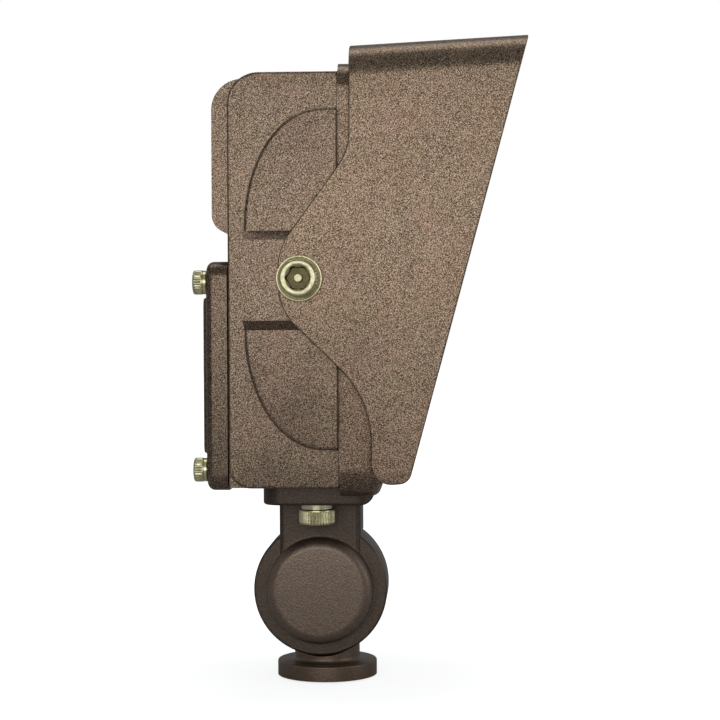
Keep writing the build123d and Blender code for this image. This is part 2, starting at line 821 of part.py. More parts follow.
# Thermal pad and light board, with one hole for the grommet and four for the screws
with BuildPart() as thermal_pad:
    with BuildSketch(Plane.YZ.offset(middle_wall_x)):
        with Locations((0, housing_middle)):
            Rectangle(2 * board_half_width, 2 * board_half_height)
        with Locations(*board_spots):
            Circle(small_shank + hole_gap / 2, mode=Mode.SUBTRACT)
        with Locations((0, wire_hole_z)):
            Circle(grommet_flange + hole_gap, mode=Mode.SUBTRACT)
    extrude(amount=pad_sheet)
thermal_pad.part.label = "thermal_pad"
export_step(thermal_pad.part, "parts/thermal_pad.step")

with BuildPart() as light_board:
    with BuildSketch(Plane.YZ.offset(middle_wall_x + pad_sheet)):
        with Locations((0, housing_middle)):
            RectangleRounded(2 * board_half_width, 2 * board_half_height, driver_round)
        with Locations(*board_spots):
            Circle(small_shank + hole_gap / 2, mode=Mode.SUBTRACT)
        with Locations((0, wire_hole_z)):
            Circle(grommet_flange + hole_gap, mode=Mode.SUBTRACT)
    extrude(amount=board_thickness)
light_board.part.label = "light_board"
export_step(light_board.part, "parts/light_board.step")

board_face = Plane.YZ.offset(board_front)
board_screws = cap_screws(
    board_face,
    board_spots,
    small_shank,
    board_thickness + pad_sheet + small_screw_reach,
    small_head,
    small_head_height,
    small_key,
    small_key_depth,
    head_edge / 2,
)
board_screws.part.label = "board_screws"
export_step(board_screws.part, "parts/board_screws.step")

cup_grid = [
    (
        (column - (cup_columns - 1) / 2) * cup_pitch,
        housing_middle + (row - (cup_rows - 1) / 2) * cup_pitch,
    )
    for column in range(cup_columns)
    for row in range(cup_rows)
]
with BuildPart() as light_sources:
    with BuildSketch(board_face):
        with Locations(*cup_grid):
            Rectangle(emitter_side, emitter_side)
    extrude(amount=emitter_height)
light_sources.part.label = "light_sources"
export_step(light_sources.part, "parts/light_sources.step")

# Reflector: a block with a faceted parabolic cup over each light source
reflector_depth = housing_front - reflector_front_gap - board_front
cup_sections = [
    (depth, math.sqrt(cup_throat**2 + (cup_mouth**2 - cup_throat**2) * depth))
    for depth in (0, 0.12, 0.4, 1)
]
with BuildPart() as cup:
    for depth, radius in cup_sections:
        with BuildSketch(Plane.YZ.offset(depth * reflector_depth)):
            RegularPolygon(radius, cup_sides)
    loft(ruled=True)

with BuildPart() as reflector:
    with BuildSketch(board_face):
        with Locations((0, housing_middle)):
            RectangleRounded(
                2 * (cavity_half_width - reflector_edge_gap),
                2 * (cavity_half_height - reflector_edge_gap),
                cavity_corner - reflector_edge_gap,
            )
    extrude(amount=reflector_depth)
    with Locations(*[(board_front, y, z) for y, z in cup_grid]):
        add(cup.part, mode=Mode.SUBTRACT)
    with BuildSketch(board_face):
        with Locations(*board_spots):
            Circle(small_head + pocket_clearance)
    extrude(amount=small_head_height + pocket_clearance, mode=Mode.SUBTRACT)
    with BuildSketch(board_face):
        with Locations((0, wire_hole_z - lead_landing / 2)):
            Rectangle(
                lead_spacing + 2 * lead_radius + 2 * pocket_clearance,
                lead_landing + 4 * lead_radius + 4 * pocket_clearance,
            )
    extrude(amount=lead_tight_bend + 4 * lead_radius + pocket_clearance, mode=Mode.SUBTRACT)
reflector.part.label = "reflector"
export_step(reflector.part, "parts/reflector.step")

# Grommet in the middle wall, and the two leads that run through it
with BuildPart() as wire_grommet:
    with BuildSketch(Plane.XZ):
        with BuildLine():
            Polyline(
                (wall_rear - grommet_flange_thickness, wire_hole_z + grommet_bore),
                (wall_rear - grommet_flange_thickness, wire_hole_z + grommet_flange),
                (wall_rear, wire_hole_z + grommet_flange),
                (wall_rear, wire_hole_z + grommet_neck),
                (middle_wall_x, wire_hole_z + grommet_neck),
                (middle_wall_x, wire_hole_z + grommet_flange),
                (middle_wall_x + grommet_flange_thickness, wire_hole_z + grommet_flange),
                (middle_wall_x + grommet_flange_thickness, wire_hole_z + grommet_bore),
                close=True,
            )
        make_face()
    revolve(axis=Axis((0, 0, wire_hole_z), (1, 0, 0)))
wire_grommet.part.label = "wire_grommet"
export_step(wire_grommet.part, "parts/wire_grommet.step")

lead_front_x = board_front + lead_tight_bend + lead_radius
driver_top = housing_bottom + driver_bottom + driver_height
with BuildPart() as lead_wires:
    for lead_y in (-lead_spacing / 2, lead_spacing / 2):
        with BuildLine(Plane.XZ.offset(-lead_y)) as route:
            FilletPolyline(
                (lead_run_x, driver_top),
                (lead_run_x, wire_hole_z),
                (lead_front_x, wire_hole_z),
                (lead_front_x, wire_hole_z - lead_landing),
                (board_front, wire_hole_z - lead_landing),
                radius=[lead_bend, lead_tight_bend, lead_tight_bend],
            )
        with BuildSketch(Plane((lead_run_x, lead_y, driver_top), z_dir=(0, 0, 1))):
            RegularPolygon(lead_radius, 8)
        sweep(path=route.wire())
lead_wires.part.label = "lead_wires"
export_step(lead_wires.part, "parts/lead_wires.step")

# Lens gasket: a channel that wraps the edge of the glass
gasket_half_width = lens_half_width + lens_gap + lens_gasket_wall
gasket_half_height = lens_half_height + lens_gap + lens_gasket_wall
gasket_corner = lens_corner + lens_gap + lens_gasket_wall
gasket_depth = 2 * lens_lip + lens_thickness
with BuildPart() as lens_gasket:
    with BuildSketch(Plane.YZ.offset(housing_front)):
        with Locations((0, housing_middle)):
            RectangleRounded(2 * gasket_half_width, 2 * gasket_half_height, gasket_corner)
            RectangleRounded(2 * cavity_half_width, 2 * cavity_half_height, cavity_corner, mode=Mode.SUBTRACT)
    extrude(amount=gasket_depth)
    with BuildSketch(Plane.YZ.offset(housing_front + lens_lip)):
        with Locations((0, housing_middle)):
            RectangleRounded(
                2 * (lens_half_width + lens_gap), 2 * (lens_half_height + lens_gap), lens_corner + lens_gap
            )
    extrude(amount=lens_thickness, mode=Mode.SUBTRACT)
lens_gasket.part.label = "lens_gasket"
export_step(lens_gasket.part, "parts/lens_gasket.step")

with BuildPart() as glass_lens:
    with BuildSketch(Plane.YZ.offset(housing_front + lens_lip)):
        with Locations((0, housing_middle)):
            RectangleRounded(2 * lens_half_width, 2 * lens_half_height, lens_corner)
    extrude(amount=lens_thickness)
glass_lens.part.label = "glass_lens"
export_step(glass_lens.part, "parts/glass_lens.step")

# Bezel: the thick front frame, with a recess behind for the gasket and a sloped window
bezel_height = housing_height + bezel_above + bezel_below
bezel_middle = housing_middle + (bezel_above - bezel_below) / 2
bezel_front = housing_front + bezel_depth
with BuildPart() as bezel:
    with BuildSketch(Plane.YZ.offset(housing_front)):
        with Locations((0, bezel_middle)):
            RectangleRounded(2 * (plate_half_width + bezel_beside), bezel_height, bezel_corner)
    extrude(amount=bezel_depth)
    fillet(bezel.faces().sort_by(Axis.X)[-1].edges(), bezel_round)
    with BuildSketch(Plane.YZ.offset(housing_front)):
        with Locations((0, housing_middle)):
            RectangleRounded(
                2 * (gasket_half_width + lens_gap), 2 * (gasket_half_height + lens_gap), gasket_corner + lens_gap
            )
    extrude(amount=gasket_depth, mode=Mode.SUBTRACT)
    with BuildSketch(Plane.YZ.offset(housing_front + gasket_depth)):
        with Locations((0, housing_middle)):
            RectangleRounded(2 * window_half_width, 2 * window_half_height, window_corner)
    extrude(amount=bezel_depth - gasket_depth, taper=-window_slope, mode=Mode.SUBTRACT)
    with BuildSketch(Plane.YZ.offset(bezel_front)):
        with Locations(*bezel_spots):
            Circle(bezel_head + hole_gap)
    extrude(amount=-bezel_screw_recess, mode=Mode.SUBTRACT)
    with BuildSketch(Plane.YZ.offset(housing_front)):
        with Locations(*bezel_spots):
            Circle(bezel_shank + hole_gap)
    extrude(amount=bezel_depth, mode=Mode.SUBTRACT)
bezel.part.label = "bezel"
export_step(bezel.part, "parts/bezel.step")

bezel_screws = cap_screws(
    Plane.YZ.offset(bezel_front - bezel_screw_recess),
    bezel_spots,
    bezel_shank,
    bezel_depth - bezel_screw_recess + bezel_screw_reach,
    bezel_head,
    bezel_head_height,
    bezel_key,
    bezel_key_depth,
)
bezel_screws.part.label = "bezel_screws"
export_step(bezel_screws.part, "parts/bezel_screws.step")

# Visor: one sheet folded over the head, cut to the outline that its cheeks show
slope = math.radians(visor_slope)
lean = math.tan(math.radians(visor_front_angle))
over_top = visor_rise + visor_outside
visor_rear_x = pivot_x + visor_rear
cheek_front = pivot_x + cheek_front_x
foot_x = pivot_x + visor_foot_x
cheek_rear = pivot_x + cheek_pad_rear
fold_plane = Plane(
    (pivot_x, 0, pivot_z + visor_rise),
    x_dir=(0, 1, 0),
    z_dir=(math.cos(slope), 0, math.sin(slope)),
)
with BuildPart() as visor:
    with BuildSketch(fold_plane):
        with Locations((0, -over_top)):
            RectangleRounded(2 * visor_outside, 2 * over_top, visor_bend)
            RectangleRounded(2 * visor_inside, 2 * (over_top - visor_sheet), visor_bend - visor_sheet, mode=Mode.SUBTRACT)
    extrude(amount=2 * visor_rise, both=True)
    with BuildSketch(Plane.XZ):
        with BuildLine():
            outline = FilletPolyline(
                (visor_rear_x, pivot_z + over_top),
                (visor_rear_x, pivot_z + cheek_neck),
                (cheek_rear, pivot_z + cheek_pad_top),
                (cheek_rear, pivot_z + cheek_pad_bottom),
                (cheek_front, pivot_z - cheek_drop),
                (cheek_front, pivot_z - cheek_bottom),
                (foot_x, pivot_z - cheek_bottom + visor_foot_rise),
                (foot_x + (over_top + cheek_bottom) * lean, pivot_z + over_top),
                radius=[
                    cheek_neck_round,
                    cheek_pad_round,
                    cheek_pad_round,
                    cheek_drop_round,
                    cheek_foot_round,
                    visor_foot_round,
                ],
            )
            Line(outline @ 1, outline @ 0)
        make_face()
    extrude(amount=over_top, both=True, mode=Mode.INTERSECT)
    # The sheet's outer edges are softened all round
    cheeks = visor.faces().filter_by(Axis.Y).filter_by(lambda f: abs(f.center().Y) > visor_inside)
    bends = visor.faces().filter_by(GeomType.CYLINDER).filter_by(
        lambda f: abs(f.radius - visor_bend) < visor_edge / 2
    )
    skin = [visor.faces().sort_by(Axis.Z)[-1], *cheeks, *bends]
    skin_edges = [edge for face in skin for edge in face.edges()]
    fillet([edge for edge in skin_edges if sum(edge.is_same(other) for other in skin_edges) == 1], visor_edge)
    with BuildSketch(Plane.XZ):
        with Locations((pivot_x, pivot_z)):
            Circle(large_shank + visor_hole_gap)
    extrude(amount=over_top, both=True, mode=Mode.SUBTRACT)
visor.part.label = "visor"
export_step(visor.part, "parts/visor.step")

# Pivot screws, one from each side, each over a flat washer
near_seat = Plane.XZ.offset(pivot_seat)
far_seat = Plane((0, pivot_seat, 0), x_dir=(-1, 0, 0), z_dir=(0, 1, 0))
pivot_reach = pivot_seat + large_washer_thickness - pad_face + pivot_screw_reach
near_screw = cap_screws(
    near_seat.offset(large_washer_thickness),
    [(pivot_x, pivot_z)],
    large_shank,
    pivot_reach,
    large_head,
    large_head_height,
    large_key,
    large_key_depth,
)
with BuildPart() as visor_screws:
    add(near_screw.part)
    mirror(about=Plane.XZ)
visor_screws.part.label = "visor_screws"
export_step(visor_screws.part, "parts/visor_screws.step")

near_washer = washers(
    near_seat, [(pivot_x, pivot_z)], large_washer, large_shank + thread_gap, large_washer_thickness
)
with BuildPart() as visor_washers:
    add(near_washer.part)
    mirror(about=Plane.XZ)
visor_washers.part.label = "visor_washers"
export_step(visor_washers.part, "parts/visor_washers.step")
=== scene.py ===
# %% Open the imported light
import bpy
import math
import numpy as np
from mathutils import Matrix, Vector


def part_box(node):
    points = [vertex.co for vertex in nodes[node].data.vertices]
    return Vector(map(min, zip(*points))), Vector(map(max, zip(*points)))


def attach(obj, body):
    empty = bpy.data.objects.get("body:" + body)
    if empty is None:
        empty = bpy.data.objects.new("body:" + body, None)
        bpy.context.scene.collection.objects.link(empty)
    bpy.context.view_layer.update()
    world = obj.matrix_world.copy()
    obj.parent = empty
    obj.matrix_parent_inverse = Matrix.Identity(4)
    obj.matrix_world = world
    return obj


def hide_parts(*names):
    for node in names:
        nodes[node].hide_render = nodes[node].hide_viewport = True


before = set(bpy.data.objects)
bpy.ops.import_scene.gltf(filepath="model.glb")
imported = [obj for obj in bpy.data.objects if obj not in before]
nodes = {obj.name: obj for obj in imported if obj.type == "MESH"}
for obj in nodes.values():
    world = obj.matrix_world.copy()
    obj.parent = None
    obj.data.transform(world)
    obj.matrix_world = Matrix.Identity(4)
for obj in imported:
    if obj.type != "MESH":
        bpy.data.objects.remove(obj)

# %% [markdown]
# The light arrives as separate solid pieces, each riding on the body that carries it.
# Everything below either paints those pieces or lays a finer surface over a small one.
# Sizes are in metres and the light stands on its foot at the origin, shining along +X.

scene = bpy.context.scene
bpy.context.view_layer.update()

# %% [markdown]
# The photograph was taken square to the side of the light from about 64 cm, with a long
# lens. The camera stands a little ahead of the light and looks slightly back at it, so the
# picture's middle falls on the housing and the lens needs no shift.

# %% Camera
camera_data = bpy.data.cameras.new("side_camera")
camera_data.sensor_width = 36.0
camera_data.lens = 86.0
camera_data.clip_start = 0.01
camera_data.clip_end = 20.0
camera = bpy.data.objects.new("side_camera", camera_data)
scene.collection.objects.link(camera)
eye = Vector((0.04124, -0.644, 0.12495))
aim = Vector((0.0128, 0.0, 0.11745))
roll = Matrix.Rotation(math.radians(-0.3), 3, "Z").to_quaternion()
camera.rotation_mode = "QUATERNION"
camera.location = eye
camera.rotation_quaternion = (aim - eye).to_track_quat("-Z", "Y") @ roll
scene.camera = camera
print("camera is", round((aim - eye).length * 1000), "mm from the light")

# %% [markdown]
# The light on the object is a bright card just above the camera and a little to its left.
# Sides that face the camera are bright and everything that slopes away falls off quickly.
# A card overhead puts a pale band along the bends on top, and a weak one lights the lens.

# %% Lamps


def soft_lamp(name, place, towards, width, height, power):
    """A rectangular lamp at place, facing towards; its light falls with the distance squared."""
    data = bpy.data.lights.new(name, "AREA")
    data.shape = "RECTANGLE"
    data.size = width
    data.size_y = height
    data.energy = power
    lamp = bpy.data.objects.new(name, data)
    scene.collection.objects.link(lamp)
    lamp.location = place
    lamp.rotation_mode = "QUATERNION"
    lamp.rotation_quaternion = (Vector(towards) - Vector(place)).to_track_quat("-Z", "Y")


middle = (0.0, 0.0, 0.13)
soft_lamp("key_card", (-0.06, -1.0, 0.265), middle, width=0.9, height=0.46, power=1.95)
soft_lamp("top_card", (0.0, 0.12, 0.9), middle, width=1.0, height=0.36, power=1.5)
soft_lamp("front_card", (1.0, -0.3, 0.3), middle, width=0.5, height=0.5, power=0.8)

# %% [markdown]
# The background is plain white. The world is white only where the camera sees it, straight
# or through the glass, and it sheds a much dimmer light on the object itself.

# %% World
world = bpy.data.worlds.new("white_room")
scene.world = world
world.use_nodes = True
wn, wl = world.node_tree.nodes, world.node_tree.links
wn.clear()


def seen_directly(tree_nodes, tree_links):
    """One where a camera or transmitted ray arrives, zero for light that falls on things."""
    rays = tree_nodes.new("ShaderNodeLightPath")
    either = tree_nodes.new("ShaderNodeMath")
    either.operation = "MAXIMUM"
    tree_links.new(rays.outputs["Is Camera Ray"], either.inputs[0])
    tree_links.new(rays.outputs["Is Transmission Ray"], either.inputs[1])
    return either.outputs[0]


room_light = wn.new("ShaderNodeBackground")
room_light.inputs["Color"].default_value = (0.92, 0.96, 1.0, 1.0)
room_light.inputs["Strength"].default_value = 0.27
room_white = wn.new("ShaderNodeBackground")
room_white.inputs["Color"].default_value = (1.0, 1.0, 1.0, 1.0)
room_mix = wn.new("ShaderNodeMixShader")
room_out = wn.new("ShaderNodeOutputWorld")
wl.new(seen_directly(wn, wl), room_mix.inputs[0])
wl.new(room_light.outputs[0], room_mix.inputs[1])
wl.new(room_white.outputs[0], room_mix.inputs[2])
wl.new(room_mix.outputs[0], room_out.inputs[0])
print("world:", world.name, "with", len(wn), "nodes")

# %% [markdown]
# The floor is a pale sheet half a millimetre under the foot. It is lit like anything else,
# with some white of its own added where the camera sees it: full white beyond 22 cm, and
# four fifths of it within 5 cm of the foot, so only the light's own shadow stays on it.

# %% Floor
floor_half = 6
floor_z = -0.0005
floor_near, floor_far = 0.05, 0.22
floor_corners = [
    (-floor_half, -floor_half, floor_z),
    (floor_half, -floor_half, floor_z),
    (floor_half, floor_half, floor_z),
    (-floor_half, floor_half, floor_z),
]
floor_mesh = bpy.data.meshes.new("floor")
floor_mesh.from_pydata(floor_corners, [], [(0, 1, 2, 3)])
floor = bpy.data.objects.new("floor", floor_mesh)
scene.collection.objects.link(floor)
floor_paint = bpy.data.materials.new("pale_floor")
floor_paint.use_nodes = True
fn, fl = floor_paint.node_tree.nodes, floor_paint.node_tree.links
fn.clear()
floor_matt = fn.new("ShaderNodeBsdfDiffuse")
floor_matt.inputs["Color"].default_value = (0.6, 0.6, 0.6, 1.0)
floor_glow = fn.new("ShaderNodeEmission")
floor_glow.inputs["Color"].default_value = (1.0, 1.0, 1.0, 1.0)
floor_place = fn.new("ShaderNodeTexCoord")
floor_radius = fn.new("ShaderNodeVectorMath")
floor_radius.operation = "LENGTH"
floor_level = fn.new("ShaderNodeMapRange")
floor_level.inputs["From Min"].default_value = floor_near
floor_level.inputs["From Max"].default_value = floor_far
floor_level.inputs["To Min"].default_value = 0.8
floor_level.inputs["To Max"].default_value = 1.0
floor_scale = fn.new("ShaderNodeMath")
floor_scale.operation = "MULTIPLY"
floor_sum = fn.new("ShaderNodeAddShader")
floor_out = fn.new("ShaderNodeOutputMaterial")
fl.new(seen_directly(fn, fl), floor_scale.inputs[0])
fl.new(floor_place.outputs["Object"], floor_radius.inputs[0])
fl.new(floor_radius.outputs["Value"], floor_level.inputs["Value"])
fl.new(floor_level.outputs["Result"], floor_scale.inputs[1])
fl.new(floor_scale.outputs[0], floor_glow.inputs["Strength"])
fl.new(floor_matt.outputs[0], floor_sum.inputs[0])
fl.new(floor_glow.outputs[0], floor_sum.inputs[1])
fl.new(floor_sum.outputs[0], floor_out.inputs[0])
floor_mesh.materials.append(floor_paint)
print("floor:", 2 * floor_half, "m wide, at", round(floor_z * 1000, 2), "mm")

# %% [markdown]
# Every finish here starts from an uneven surface: powder coat has an orange peel of small
# lumps, castings wave a little, and metal is never quite even. One shared effect gives a
# bump height, a slow mask and a slow noise for each colour channel, and each finish sets its
# own grain and wave sizes.

# %% Shared grain effect


def grain_group():
    """Grain in object coordinates: a field of fine lumps, blended with a share of a slow wave.

    The coordinates are turned off the axes first, so that flat faces cut the noise at a slant
    and all show it alike. The slow wave also comes out alone, as a value and as three tints.
    """
    group = bpy.data.node_groups.new("surface_grain", "ShaderNodeTree")
    sockets = group.interface
    for name, value in (("Grain Size", 900.0), ("Wave Size", 40.0), ("Wave Share", 0.06)):
        socket = sockets.new_socket(name=name, in_out="INPUT", socket_type="NodeSocketFloat")
        socket.default_value = value
    for name in ("Height", "Slow"):
        sockets.new_socket(name=name, in_out="OUTPUT", socket_type="NodeSocketFloat")
    sockets.new_socket(name="Tints", in_out="OUTPUT", socket_type="NodeSocketColor")
    n, l = group.nodes, group.links
    inside = n.new("NodeGroupInput")
    outside = n.new("NodeGroupOutput")
    place = n.new("ShaderNodeTexCoord")
    slant = n.new("ShaderNodeMapping")
    slant.inputs["Rotation"].default_value = (0.62, 0.47, 0.35)
    fine = n.new("ShaderNodeTexNoise")
    fine.inputs["Detail"].default_value = 1.0
    fine.inputs["Roughness"].default_value = 0.9
    slow = n.new("ShaderNodeTexNoise")
    slow.inputs["Detail"].default_value = 2.0
    blend = n.new("ShaderNodeMix")
    l.new(place.outputs["Object"], slant.inputs["Vector"])
    l.new(slant.outputs["Vector"], fine.inputs["Vector"])
    l.new(slant.outputs["Vector"], slow.inputs["Vector"])
    l.new(inside.outputs["Grain Size"], fine.inputs["Scale"])
    l.new(inside.outputs["Wave Size"], slow.inputs["Scale"])
    l.new(inside.outputs["Wave Share"], blend.inputs[0])
    l.new(fine.outputs["Fac"], blend.inputs[2])
    l.new(slow.outputs["Fac"], blend.inputs[3])
    l.new(blend.outputs[0], outside.inputs["Height"])
    l.new(slow.outputs["Fac"], outside.inputs["Slow"])
    l.new(slow.outputs["Color"], outside.inputs["Tints"])
    return group


surface_grain = grain_group()
MOST_NOISE = (0.3, 0.7)


def finish(
    name,
    dark,
    light,
    rough,
    grain,
    wave,
    depth,
    metallic=0.0,
    ior=1.5,
    speck=MOST_NOISE,
    hue=0.0,
    **extra,
):
    """A painted or metal finish from two colours, two roughnesses and the shared grain.

    The colour runs straight from dark to light while the grain's height rises from the first
    to the second value of speck. Each channel is then multiplied by one plus hue times its
    own slow noise, which runs from minus a half to a half. The roughness runs from its first
    to its second value with the slow wave. The bump is the grain's height times depth.
    """
    paint = bpy.data.materials.new(name)
    paint.use_nodes = True
    n, l = paint.node_tree.nodes, paint.node_tree.links
    shader = n["Principled BSDF"]
    texture = n.new("ShaderNodeGroup")
    texture.node_tree = surface_grain
    texture.inputs["Grain Size"].default_value = grain
    texture.inputs["Wave Size"].default_value = wave
    colours = n.new("ShaderNodeValToRGB")
    colours.color_ramp.elements[0].position = speck[0]
    colours.color_ramp.elements[1].position = speck[1]
    colours.color_ramp.elements[0].color = (*dark, 1.0)
    colours.color_ramp.elements[1].color = (*light, 1.0)
    l.new(texture.outputs["Height"], colours.inputs["Fac"])
    spread = n.new("ShaderNodeVectorMath")
    spread.operation = "MULTIPLY_ADD"
    spread.inputs[1].default_value = (hue, hue, hue)
    spread.inputs[2].default_value = (1 - hue / 2, 1 - hue / 2, 1 - hue / 2)
    tinted = n.new("ShaderNodeVectorMath")
    tinted.operation = "MULTIPLY"
    l.new(texture.outputs["Tints"], spread.inputs[0])
    l.new(colours.outputs["Color"], tinted.inputs[0])
    l.new(spread.outputs["Vector"], tinted.inputs[1])
    l.new(tinted.outputs["Vector"], shader.inputs["Base Color"])
    span = n.new("ShaderNodeMapRange")
    span.inputs["From Min"].default_value = MOST_NOISE[0]
    span.inputs["From Max"].default_value = MOST_NOISE[1]
    span.inputs["To Min"].default_value = rough[0]
    span.inputs["To Max"].default_value = rough[1]
    l.new(texture.outputs["Slow"], span.inputs["Value"])
    l.new(span.outputs["Result"], shader.inputs["Roughness"])
    bump = n.new("ShaderNodeBump")
    bump.inputs["Distance"].default_value = depth
    bump.inputs["Strength"].default_value = 1.0
    l.new(texture.outputs["Height"], bump.inputs["Height"])
    l.new(bump.outputs["Normal"], shader.inputs["Normal"])
    shader.inputs["Metallic"].default_value = metallic
    shader.inputs["IOR"].default_value = ior
    for socket, value in extra.items():
        shader.inputs[socket.replace("_", " ")].default_value = value
    return paint


print("grain effect sockets:", [s.name for s in surface_grain.interface.items_tree])

# %% [markdown]
# The castings and the visor wear one textured bronze powder coat. The arms are smoother and
# the screws are steel with a thin yellow passivation. Inside are glass, chrome, rubber and
# the pale board. Each line gives the dark and the light colour, the two roughnesses, the
# waves a metre of the grain and of the slow wave, and the depth of the bump in metres.

# %% Finishes
coat = {
    "rough": (0.27, 0.32),
    "grain": 3000,
    "wave": 60,
    "depth": 0.00003,
    "metallic": 0.85,
    "speck": (0.44, 0.64),
    "hue": 0.14,
}
arm_coat = {"rough": (0.36, 0.44), "grain": 1500, "wave": 50, "depth": 0.0001, "metallic": 0.85}
bronze = {"dark": (0.057, 0.035, 0.019), "light": (0.53, 0.385, 0.275)}
bronze_cast = finish("textured_bronze", **bronze, **coat)
bronze_sheet = finish("sheet_bronze", **bronze, **coat)
bronze_body = finish("housing_bronze", (0.05, 0.031, 0.018), (0.49, 0.36, 0.262), **coat)
# The rear cover wears the housing's coat; its darker colours here are painted shade.
bronze_cover_shaded = finish("shaded_cover_bronze", (0.042, 0.026, 0.015), (0.37, 0.272, 0.198), **coat)
bronze_arm = finish("smooth_bronze", (0.165, 0.121, 0.092), (0.27, 0.2, 0.152), **arm_coat)
bronze_foot = finish("foot_bronze", (0.2, 0.145, 0.107), (0.28, 0.205, 0.152), **arm_coat)
yellow_steel = finish(
    "yellow_steel", (0.56, 0.52, 0.29), (0.88, 0.81, 0.53),
    rough=(0.2, 0.3), grain=700, wave=150, depth=0.00002, metallic=1.0,
)
black_rubber = finish(
    "black_rubber", (0.012, 0.012, 0.012), (0.03, 0.03, 0.03),
    rough=(0.6, 0.75), grain=800, wave=80, depth=0.00004,
)
chrome_cup = finish(
    "bright_reflector", (0.8, 0.8, 0.8), (0.9, 0.9, 0.9),
    rough=(0.12, 0.2), grain=400, wave=40, depth=0.00001, metallic=1.0,
)
white_board = finish(
    "white_board", (0.72, 0.74, 0.72), (0.8, 0.81, 0.8),
    rough=(0.35, 0.45), grain=700, wave=60, depth=0.00001,
)
phosphor = finish(
    "yellow_phosphor", (0.75, 0.5, 0.05), (0.85, 0.62, 0.1),
    rough=(0.3, 0.4), grain=900, wave=100, depth=0.00001,
)
black_potting = finish(
    "black_potting", (0.015, 0.015, 0.016), (0.03, 0.03, 0.032),
    rough=(0.4, 0.55), grain=500, wave=50, depth=0.00004,
)
red_lead = finish(
    "lead_insulation", (0.45, 0.02, 0.015), (0.55, 0.03, 0.02),
    rough=(0.4, 0.5), grain=700, wave=80, depth=0.00001,
)
clear_glass = finish(
    "clear_glass", (0.93, 0.96, 0.95), (0.96, 0.98, 0.97),
    rough=(0.02, 0.04), grain=60, wave=10, depth=0.0, ior=1.52, Transmission_Weight=1.0,
)
print("textured coat:", coat)

# %% [markdown]
# A few marks of painted shade darken the paints. The arms are darker away from the round
# bosses of the knuckle, and the top of the upper arm, under the housing, is darker again. A
# dark line of painted shade runs round the housing where the bezel meets it. Painted shade
# also darkens the sockets, pins and crowns of the screws and the faces of the pivots'
# washers, wherever a surface carries a shade value on its points. Each mark below is given
# as the distance where it is absent and the distance where it is full, both in metres.

# %% Marks on the finishes


def shade_where(paint, mask, share):
    """Multiply the paint's colour by share where mask is one, and leave it where mask is zero."""
    n, l = paint.node_tree.nodes, paint.node_tree.links
    socket = n["Principled BSDF"].inputs["Base Color"]
    blend = n.new("ShaderNodeMix")
    blend.data_type = "RGBA"
    blend.blend_type = "MULTIPLY"
    first, second = [s for s in blend.inputs if s.type == "RGBA"]
    second.default_value = (*share, 1.0)
    l.new(socket.links[0].from_socket, first)
    l.new(mask, blend.inputs["Factor"])
    l.new([s for s in blend.outputs if s.type == "RGBA"][0], socket)


def line_distance(paint, point, across):
    """Distance in object coordinates from a line or plane through point.

    It is the length of the offset from point, with each direction multiplied by across: a
    zero there makes the direction not count.
    """
    n, l = paint.node_tree.nodes, paint.node_tree.links
    place = n.new("ShaderNodeTexCoord")
    shift = n.new("ShaderNodeVectorMath")
    shift.operation = "SUBTRACT"
    shift.inputs[1].default_value = point
    kept = n.new("ShaderNodeVectorMath")
    kept.operation = "MULTIPLY"
    kept.inputs[1].default_value = across
    reach = n.new("ShaderNodeVectorMath")
    reach.operation = "LENGTH"
    l.new(place.outputs["Object"], shift.inputs[0])
    l.new(shift.outputs[0], kept.inputs[0])
    l.new(kept.outputs[0], reach.inputs[0])
    return reach.outputs["Value"]


def ramp(paint, value, none, full):
    """A mask that runs straight from zero where value is none to one where value is full."""
    n, l = paint.node_tree.nodes, paint.node_tree.links
    span = n.new("ShaderNodeMapRange")
    span.inputs["From Min"].default_value = none
    span.inputs["From Max"].default_value = full
    l.new(value, span.inputs["Value"])
    return span.outputs["Result"]


def carried_value(paint, name):
    """The value of that name that a surface carries on its points, zero where it has none."""
    carried = paint.node_tree.nodes.new("ShaderNodeAttribute")
    carried.attribute_name = name
    return carried.outputs["Fac"]


SHADE_OFF_BOSS = (0.0185, 0.0205)
FLANGE_SHADE = (0.022, 0.016)
SEAM_SHADE = (0.0006, 0.0002)
seal_low, seal_high = (np.array(v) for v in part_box("knuckle_seal"))
knuckle = (seal_low + seal_high) / 2
# Painted shade: away from the knuckle's bosses the upper arm is darkened by half and the lower arm
# by a fifth.
for paint, share in ((bronze_arm, (0.51, 0.52, 0.53)), (bronze_foot, (0.82, 0.8, 0.78))):
    off_axis = line_distance(paint, knuckle.tolist(), (1, 0, 1))
    shade_where(paint, ramp(paint, off_axis, *SHADE_OFF_BOSS), share)
# Painted shade under the housing: the upper arm is darkened further within 16 mm of its top, fading
# out by 22 mm.
flange_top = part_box("upper_arm")[1][2]
below_top = line_distance(bronze_arm, (0, 0, flange_top), (0, 0, 1))
shade_where(bronze_arm, ramp(bronze_arm, below_top, *FLANGE_SHADE), (0.82, 0.82, 0.82))
# Painted shade: a dark line on the housing within 0.2 mm of the bezel, fading out by 0.6 mm.
seam_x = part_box("bezel")[0][0]
off_seam = line_distance(bronze_body, (seam_x, 0, 0), (1, 0, 0))
shade_where(bronze_body, ramp(bronze_body, off_seam, *SEAM_SHADE), (0.15, 0.14, 0.13))
# Painted shade on the screws: the value carried on their points darkens sockets, pins, crowns and
# the pivot washers' faces.
shade_where(yellow_steel, carried_value(yellow_steel, "painted_shade"), (0.12, 0.11, 0.09))
print("knuckle axis in mm:", (knuckle * 1000).round(2), "seam at", round(seam_x * 1000, 2))

# %% [markdown]
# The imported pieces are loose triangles, so their curves would show facets. A small modifier
# tree joins the corners and smooths every edge that bends by less than 32 degrees.
# The real edges stay crisp, and their true rounding is already in the solids.

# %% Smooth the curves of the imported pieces
MERGE_GAP = 1e-6
SHARP_ANGLE = math.radians(32)


